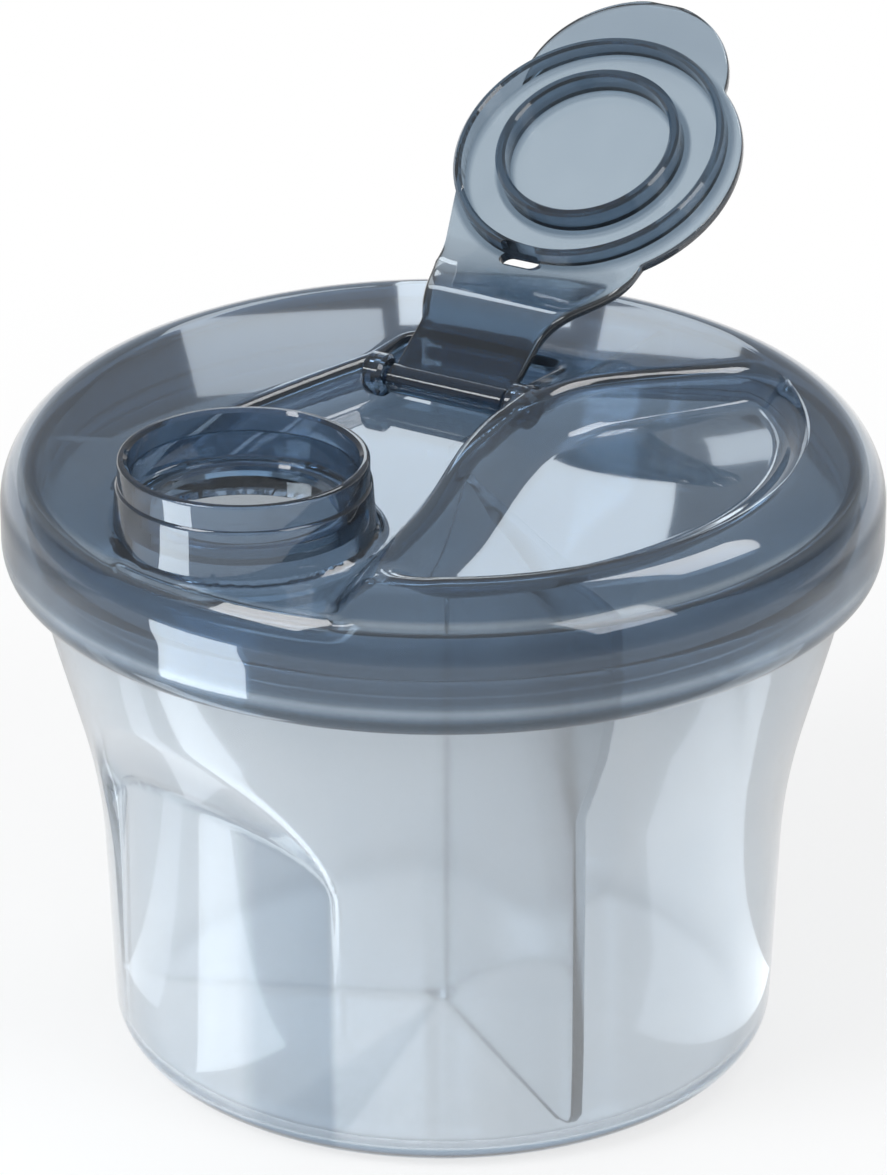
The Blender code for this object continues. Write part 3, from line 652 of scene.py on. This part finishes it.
dome_rim = LID_RADIUS - LID_SHOULDER_RUN
lid_outline = [(r, float(shell_height(r))) for r in np.linspace(0, dome_rim, 108)]
for a in np.linspace(0, math.pi / 2, 22)[1:]:
    r = dome_rim + LID_SHOULDER_RUN * math.sin(a)
    lid_outline.append((r, LID_SHOULDER_START + LID_SHOULDER_RISE * math.cos(a)))
lid_outline += line_points((LID_RADIUS, LID_SHOULDER_START), (LID_RADIUS, SKIRT_END), 6)
run, rise = LID_OUTER_ROLL
lid_outline += curve_points((LID_RADIUS - run, LID_BOTTOM + rise), run, rise, 0, -90, 10)
run, rise = LID_INNER_ROLL
lid_inside = LID_RADIUS - LID_WALL
lid_outline += curve_points((lid_inside + run, LID_BOTTOM + rise), run, rise, -90, -180, 3)
lid_outline += line_points((lid_inside, LID_BOTTOM + 0.0004), (lid_inside, LID_SHOULDER_START), 6)
inner_run = LID_SHOULDER_RUN - LID_WALL
for a in np.linspace(math.pi / 2, 0, 16)[1:]:
    lid_outline.append((dome_rim + inner_run * math.sin(a),
                        LID_SHOULDER_START + (LID_SHOULDER_RISE - LID_WALL) * math.cos(a)))
lid_outline += [(r, float(shell_height(r)) - LID_WALL) for r in np.linspace(dome_rim, 0, 70)[1:]]
lid = turned_piece("lid_shell", lid_outline, LID_SIDES)

crest = knot_curve(CREST_KNOTS, 6)
valley_room = ARM_DOME_SIDE + ARM_ROOM
crest_left = side_step(crest, -CREST_HALF_WIDTH)
hinge_plan = np.array(HINGE_PLACE.xy)
crest_left = crest_left[(crest_left - hinge_plan) @ np.array(CAP_WAY.xy) > valley_room]
hug_start = CAP_TURN + 3 * math.pi / 2
exit_place = PAST_LID * np.array((math.cos(VALLEY_EXIT), math.sin(VALLEY_EXIT)))
exit_way = exit_place - np.array(SPOUT_PLACE.xy)
hug_end = math.atan2(exit_way[1], exit_way[0]) + 2 * math.pi
hug = arc_points(SPOUT_PLACE.xy, HUG_RADIUS, hug_start, hug_end, 16)
front_end = math.atan2(crest_left[0][1], crest_left[0][0])
front = arc_points((0, 0), PAST_LID, VALLEY_EXIT, front_end, 12)
crest_room = ARM_CREST_SIDE + ARM_ROOM
back = [beside_hinge(reach, side) for reach, side in (
    (0, crest_room), (VALLEY_BACK, crest_room), (VALLEY_BACK, -valley_room), (0, -valley_room),
    (ARM_WIDE_REACH, -ARM_WIDE_SIDE - ARM_ROOM))]
valley_edge = np.array([*crest_left, *back, *hug, *front])

lid_spots = vertex_array(lid)
plan = lid_spots[:, :2].copy()
plan_radius = np.hypot(plan[:, 0], plan[:, 1])
top_height = shell_height(plan_radius)
valley_gap = signed_distance(plan, valley_edge)
beside_crest = eased((line_distance(plan, crest) - CREST_FLANK_START) / CREST_FLANK_RUN)
valley_slope = VALLEY_SLOPE + VALLEY_EXTRA_SLOPE * beside_crest
valley_ramp = (valley_slope - VALLEY_SLOPE / 2 - valley_gap) / valley_slope
valley_share = eased(valley_ramp)
valley_drop = np.minimum(VALLEY_FLOOR - top_height, 0) * valley_share

crest_loop = np.vstack([crest, 0.2 * np.array(((1, 1), (1, -1), (-0.2, -1)))])
crest_side = signed_distance(plan, crest_loop)
scoop_ramp = (-crest_side - SCOOP_START) / SCOOP_SLOPE
scoop_share = eased(scoop_ramp)
edge_share = eased((SCOOP_RADIUS - plan_radius) / SCOOP_EDGE_SLOPE)
scoop_base = SCOOP_FLOOR + SCOOP_RISE * eased((-crest_side - SCOOP_RISE_START) / SCOOP_RISE_RUN)
scoop_drop = np.minimum(scoop_base - top_height, 0) * scoop_share * edge_share
drop = np.minimum(valley_drop, scoop_drop)
# A small fillet rounds the spout into the valley, and the steep walls are smoothed after.
spout_gap = np.hypot(plan[:, 0] - SPOUT_PLACE.x, plan[:, 1] - SPOUT_PLACE.y) - SPOUT_BASE_RADIUS
fillet = FILLET_RISE * np.clip(1 - (spout_gap - FILLET_START) / FILLET_RUN, 0, 1) ** 2
fillet = fillet * (spout_gap > FILLET_INNER_END)
lid_spots[:, 2] += np.where(lid_spots[:, 2] > LID_SHOULDER_START, drop + np.minimum(fillet, -drop), 0)
place_vertices(lid, lid_spots)
walls = lid.vertex_groups.new(name="walls")
steep = np.abs(valley_ramp - 0.5) < VALLEY_WALL_MARGIN
steep |= (np.abs(scoop_ramp - 0.5) < SCOOP_WALL_MARGIN) & (plan_radius < SCOOP_RADIUS)
steep &= (lid_spots[:, 2] > LID_SHOULDER_START) & (plan_radius < WALL_END_RADIUS)
walls.add([int(index) for index in np.flatnonzero(steep)], 1.0, "REPLACE")
apply_modifier(lid, "SMOOTH", factor=0.5, iterations=SMOOTHING_ROUNDS, vertex_group="walls")
lid.vertex_groups.clear()

# The spout's tube, with a faint step under its rim, and the two hinge ears are joined on,
# then the bore and the pin sockets are cut through them.
SPOUT_SIDES = 128
SPOUT_EASE = 0.0004
spout_low = VALLEY_FLOOR - LID_WALL / 2
spout_tube = turned_piece("spout_tube", [
    (0, spout_low), (SPOUT_BASE_RADIUS, spout_low),
    (SPOUT_BASE_RADIUS, VALLEY_FLOOR + 0.0005), (SPOUT_RADIUS + 0.0003, SPOUT_RIM - 0.0032),
    (SPOUT_RADIUS + 0.00025, SPOUT_RIM - 0.0030), (SPOUT_RADIUS, SPOUT_RIM - 0.0028),
    *curve_points((SPOUT_RADIUS - SPOUT_EASE, SPOUT_RIM - SPOUT_EASE), SPOUT_EASE, SPOUT_EASE, 0, 90, 5),
    (0, SPOUT_RIM)], SPOUT_SIDES)
spout_tube.data.transform(Matrix.Translation(SPOUT_PLACE))
combine(lid, spout_tube, "UNION")


def hinge_rod(name, radius, start, end, round_end=0.0):
    """A rod on the hinge's axis between two places beside the arm, positive to the crest."""
    rod = turned_piece(name, [
        (0, start), (radius - round_end, start), (radius, start + round_end),
        (radius, end - round_end), (radius - round_end, end), (0, end)], 48)
    turn = Vector((0, 0, 1)).rotation_difference(-HINGE_WAY).to_matrix().to_4x4()
    rod.data.transform(Matrix.Translation(HINGE_PLACE) @ turn)
    return rod


EAR_THICKNESS = 0.0026
EAR_RADIUS = 0.0026
PIN_RADIUS = 0.0011
PIN_LENGTH = 0.0019
PIN_ROOM = 0.0002
EAR_ROOM = 0.0003
EAR_EASE = 0.0004
SOCKET_DEPTH = 0.0022
BORE_BOTTOM = 0.066
LEDGE_EASE = 0.0003
ear_left = -ARM_DOME_SIDE - EAR_ROOM
ear_right = ARM_CREST_SIDE + EAR_ROOM
combine(lid, hinge_rod("ear_left", EAR_RADIUS, ear_left - EAR_THICKNESS, ear_left, EAR_EASE), "UNION")
combine(lid, hinge_rod("ear_right", EAR_RADIUS, ear_right, ear_right + EAR_THICKNESS, EAR_EASE), "UNION")
sockets = hinge_rod("sockets", PIN_RADIUS + PIN_ROOM, ear_left - SOCKET_DEPTH, ear_right + SOCKET_DEPTH)
combine(lid, sockets, "DIFFERENCE")
ledge_low = LEDGE_HEIGHT - LID_WALL
bore_top = SPOUT_RIM + 0.002
bore = turned_piece("spout_bore", [
    (0, BORE_BOTTOM), (BORE_RADIUS, BORE_BOTTOM), (BORE_RADIUS, ledge_low), (LEDGE_RADIUS, ledge_low),
    (LEDGE_RADIUS, LEDGE_HEIGHT - LEDGE_EASE), (LEDGE_RADIUS + LEDGE_EASE, LEDGE_HEIGHT),
    (BORE_RADIUS - 0.0008, LEDGE_HEIGHT), (BORE_RADIUS - 0.0004, LEDGE_HEIGHT + LEDGE_EASE),
    (BORE_RADIUS - 0.0001, SPOUT_RIM - 0.0004), (BORE_RADIUS + 0.0004, SPOUT_RIM + 0.0001),
    (BORE_RADIUS + 0.0004, bore_top), (0, bore_top)], SPOUT_SIDES)
bore.data.transform(Matrix.Translation(SPOUT_PLACE))
combine(lid, bore, "DIFFERENCE")
shade_smooth(lid, 38)
lid_plastic = clear_plastic(
    "lid_plastic", (0.43, 0.53, 0.65), (0.38, 0.475, 0.60), 0.95, 0.045, 0.030, (0.16, 0.34, 0.47), 345.0)
# Painted shade makes the skirt even and dark, darkest at its bottom edge, and painted highlights draw a
# light line on its shoulder and another on its lower roll.
# Its level runs from 0 at the lid's bottom to 1 near the dome.
SKIRT_REACH = (0.0460, 0.0466)
SKIRT_RISE = 0.0140
lid_point = surface_point()
lid_level = (Tone.part(lid_point, UPWARD) - LID_BOTTOM) * (1 / SKIRT_RISE)
lid_plan = Tone.vector("MULTIPLY", lid_point, (1, 1, 0), output=0)
lid_reach = Tone.vector("LENGTH", lid_plan)
skirt_part = Tone.add("ShaderNodeMapRange", values={
    "Value": lid_reach, "From Min": SKIRT_REACH[0], "From Max": SKIRT_REACH[1],
    "To Min": 0.0, "To Max": 1.0})
# Painted shade bands on the skirt, then painted highlight lines on its lower roll and shoulder.
painted_skirt_shade = Tone.ramp(
    lid_level, (0.10, 1.0), (0.14, 0.0), (0.21, 0.0), (0.25, 0.42), (0.56, 0.42), (0.60, 0.22),
    (0.76, 0.1), (0.80, 0.0))
painted_skirt_highlight = Tone.ramp(
    lid_level, (0.14, 0.0), (0.18, 1.0), (0.21, 0.8), (0.25, 0.0), (0.79, 0.0), (0.82, 1.0),
    (0.87, 1.0), (0.90, 0.0))
tint(lid_plastic, painted_skirt_shade * skirt_part, (0.13, 0.18, 0.23))
tint(lid_plastic, painted_skirt_highlight * skirt_part, (0.95, 0.98, 1.0))
lid.data.materials.append(lid_plastic)
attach(lid, "lid")
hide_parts("lid")


# Spout cap: one tinted moulding, a disc with a collar that goes over the spout and a plug
# ring that goes into it, a thumb tab, and a curved arm with a slot that ends in the hinge's
# barrel and pins. It is made shut and then swung open as in the photograph.
CAP_OPEN = math.radians(148)
ARM_THICKNESS = 0.0014
ARM_ROWS = 150
TIP_ROWS = 14
ARM_END = 0.0365
ARM_RAMP_START = 0.009
ARM_RAMP_LENGTH = 0.0165
ARM_FLARE_START = 0.0085
ARM_FLARE_LENGTH = 0.012
ARM_DOME_FLARE = 0.0060
ARM_CREST_FLARE = 0.0018
ARM_LAST_FLARE = 0.0047
SHEET_EDGE = 0.0005
EDGE_STEPS = 6
FLAT_STEPS = 14
PLATE_LOW = SPOUT_RIM + 0.0003 - HINGE_HEIGHT
PLATE_HIGH = PLATE_LOW + ARM_THICKNESS
COLLAR_RADIUS = 0.0165
TAB_RADIUS = 0.0130
TAB_TIP = CAP_REACH + 0.0240
TAB_LAST_RUN = 0.003
CAP_ROUNDS = (
    (CAP_REACH - 0.0008, 0.0013, 0.0173), (CAP_REACH, 0, COLLAR_RADIUS),
    (TAB_TIP - TAB_RADIUS, -0.0012, TAB_RADIUS))


def arm_low(reach):
    """The underside's height over the hinge's axis."""
    share = eased((reach - ARM_RAMP_START) / ARM_RAMP_LENGTH)
    return -ARM_THICKNESS / 2 + (PLATE_LOW + ARM_THICKNESS / 2) * share


def sheet_sides(reach):
    """The sheet's two edges at a reach: the arm's first, then the discs' where they are wider."""
    low, high = 1.0, -1.0
    if reach <= ARM_END:
        share = max(0, reach - ARM_FLARE_START) / ARM_FLARE_LENGTH
        low = -(ARM_DOME_SIDE + ARM_DOME_FLARE * share)
        high = ARM_CREST_SIDE + ARM_CREST_FLARE * share
        if reach > ARM_WIDE_REACH:
            last_share = (reach - ARM_WIDE_REACH) / (ARM_END - ARM_WIDE_REACH)
            low = -(ARM_WIDE_SIDE + ARM_LAST_FLARE * last_share)
    for middle, side, radius in CAP_ROUNDS:
        if abs(reach - middle) < radius:
            half = math.sqrt(radius**2 - (reach - middle) ** 2)
            low = min(low, side - half)
            high = max(high, side + half)
    return low, high


def sheet_ring(reach):
    """The sheet's cross section at a reach: four eased edges joined by two flats."""
    low, high = sheet_sides(reach)
    half = (high - low) / 2
    middle = (high + low) / 2
    level = arm_low(reach) + ARM_THICKNESS / 2
    tip = np.clip((TAB_TIP - reach) / SHEET_EDGE, 0, 1)
    thick = ARM_THICKNESS / 2 * math.sqrt(max(0.04, 1 - (1 - tip) ** 2))
    edge = min(SHEET_EDGE, half * 0.8, thick)
    ring = []
    for aside, up, start in ((1, 1, 0), (-1, 1, 90), (-1, -1, 180), (1, -1, 270)):
        for a in np.radians(np.linspace(start, start + 90, EDGE_STEPS)):
            side = middle + aside * (half - edge) + edge * math.cos(a)
            ring.append((reach, side, level + up * (thick - edge) + edge * math.sin(a)))
        if aside * up > 0:
            for step in np.linspace(1, -1, FLAT_STEPS)[1:-1]:
                ring.append((reach, middle + up * step * (half - edge), level + up * thick))
    return ring


reaches = list(np.linspace(0, TAB_TIP - TAB_LAST_RUN, ARM_ROWS - TIP_ROWS))
for a in np.linspace(0, math.pi / 2 - 0.05, TIP_ROWS + 1)[1:]:
    reaches.append(TAB_TIP - TAB_LAST_RUN * (1 - math.sin(a)))
rings = np.array([sheet_ring(reach) for reach in reaches])
ring_size = rings.shape[1]
deselect_all()
bpy.ops.mesh.primitive_circle_add(vertices=ring_size, radius=1, fill_type="NGON")
cap = bpy.context.active_object
cap.name = "cap_moulding"
bpy.ops.object.mode_set(mode="EDIT")
bpy.ops.mesh.select_all(action="SELECT")
for _ in rings[1:]:
    bpy.ops.mesh.extrude_region_move(TRANSFORM_OT_translate={"value": (0, 0, 1)})
bpy.ops.object.mode_set(mode="OBJECT")
# Each extruded circle takes the place of one ring: its height is the ring's number.
sheet = vertex_array(cap)
levels = np.rint(sheet[:, 2]).astype(int)
turns = np.arctan2(sheet[:, 0], sheet[:, 1]) / (2 * math.pi)
around = np.rint(turns * ring_size).astype(int) % ring_size
place_vertices(cap, rings[levels, around])
bpy.ops.object.mode_set(mode="EDIT")
bpy.ops.mesh.select_all(action="SELECT")
bpy.ops.mesh.normals_make_consistent(inside=False)
bpy.ops.object.mode_set(mode="OBJECT")


COLLAR_INSIDE = 0.0155
COLLAR_DEPTH = 0.0037
PLUG_INSIDE = 0.0100
PLUG_RADIUS = 0.0112
PLUG_DEPTH = 0.0042
RING_ROOT = PLATE_LOW + 0.0006
RING_EASE = 0.0003
BARREL_RADIUS = 0.0017
BARREL_EASE = 0.0003


def cap_ring(name, inner, outer, low, high):
    """A round wall under the disc, with both its lower edges eased."""
    ease = min(RING_EASE, (outer - inner) / 3)
    ring = turned_piece(name, [
        (inner, high), (inner, low + ease), (inner + ease, low), (outer - ease, low),
        (outer, low + ease), (outer, high)], 128, closed=True)
    ring.data.transform(Matrix.Translation((CAP_REACH, 0, 0)))
    return ring


collar = cap_ring("collar", COLLAR_INSIDE, COLLAR_RADIUS, PLATE_HIGH - COLLAR_DEPTH, RING_ROOT)
combine(cap, collar, "UNION")
plug_ring = cap_ring("plug_ring", PLUG_INSIDE, PLUG_RADIUS, PLATE_HIGH - PLUG_DEPTH, RING_ROOT)
combine(cap, plug_ring, "UNION")
barrel = turned_piece("barrel", [
    (0, -ARM_DOME_SIDE), (BARREL_RADIUS - BARREL_EASE, -ARM_DOME_SIDE),
    (BARREL_RADIUS, -ARM_DOME_SIDE + BARREL_EASE), (BARREL_RADIUS, ARM_CREST_SIDE - BARREL_EASE),
    (BARREL_RADIUS - BARREL_EASE, ARM_CREST_SIDE), (0, ARM_CREST_SIDE)], 48)
pins = turned_piece("pins", [
    (0, -ARM_DOME_SIDE - PIN_LENGTH), (PIN_RADIUS, -ARM_DOME_SIDE - PIN_LENGTH),
    (PIN_RADIUS, ARM_CREST_SIDE + PIN_LENGTH), (0, ARM_CREST_SIDE + PIN_LENGTH)], 32)
for rod in (barrel, pins):
    rod.data.transform(Matrix.Rotation(-math.pi / 2, 4, "X"))
    combine(cap, rod, "UNION")
SLOT_PLACE = Vector((0.0238, -0.0018, PLATE_LOW))
SLOT_RADIUS = 0.0011
SLOT_HALF_LENGTH = 0.0015
SLOT_CUT_DEPTH = 0.012
deselect_all()
bpy.ops.mesh.primitive_circle_add(vertices=48, radius=SLOT_RADIUS, fill_type="NGON")
slot = bpy.context.active_object
for vertex in slot.data.vertices:
    vertex.co.y += math.copysign(SLOT_HALF_LENGTH, vertex.co.y)
apply_modifier(slot, "SOLIDIFY", thickness=SLOT_CUT_DEPTH, offset=0)
slot.data.transform(Matrix.Translation(SLOT_PLACE))
combine(cap, slot, "DIFFERENCE")
cap_swing = Matrix.Translation(HINGE_PLACE) @ Matrix.Rotation(CAP_OPEN, 4, HINGE_WAY)
cap_swing = cap_swing @ Matrix.Rotation(CAP_TURN, 4, "Z")
cap.data.transform(cap_swing)
shade_smooth(cap, 38)
cap_plastic = clear_plastic(
    "cap_plastic", (0.85, 0.90, 0.955), (0.79, 0.845, 0.905), 0.93, 0.045, 0.022,
    (0.16, 0.34, 0.46), 540.0)
# Painted shade darkens the arm towards the hinge, and the plastic is darker where it is thicker: at the
# tab and at both rings.
DISC_REACH = 0.030
cap_point = surface_point()
hinge_gap = Tone.vector("DISTANCE", cap_point, tuple(HINGE_PLACE))
# Painted shade along the arm: dark at the hinge, plain from the disc on.
painted_arm_shade_fade = Tone.step(hinge_gap, 0.016, 0.029, 0.0, 1.0)
tab_fade = Tone.step(hinge_gap, 0.052, 0.060, 1.0, 0.72)
disc_middle = cap_swing @ Vector((CAP_REACH, 0, PLATE_LOW))
disc_gap = Tone.vector("DISTANCE", cap_point, tuple(disc_middle)) * (1 / DISC_REACH)
ring_fade = Tone.ramp(
    disc_gap, (0.320, 1.0), (0.334, 0.2), (0.392, 0.2), (0.402, 1.0), (0.500, 1.0), (0.516, 0.3),
    (0.565, 0.3), (0.585, 1.0))
tint(cap_plastic, 1 - painted_arm_shade_fade * tab_fade * ring_fade, (0.22, 0.295, 0.38))
cap.data.materials.append(cap_plastic)
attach(cap, "spout_cap")
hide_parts("spout_cap")

bpy.context.scene.view_settings.view_transform = "Standard"
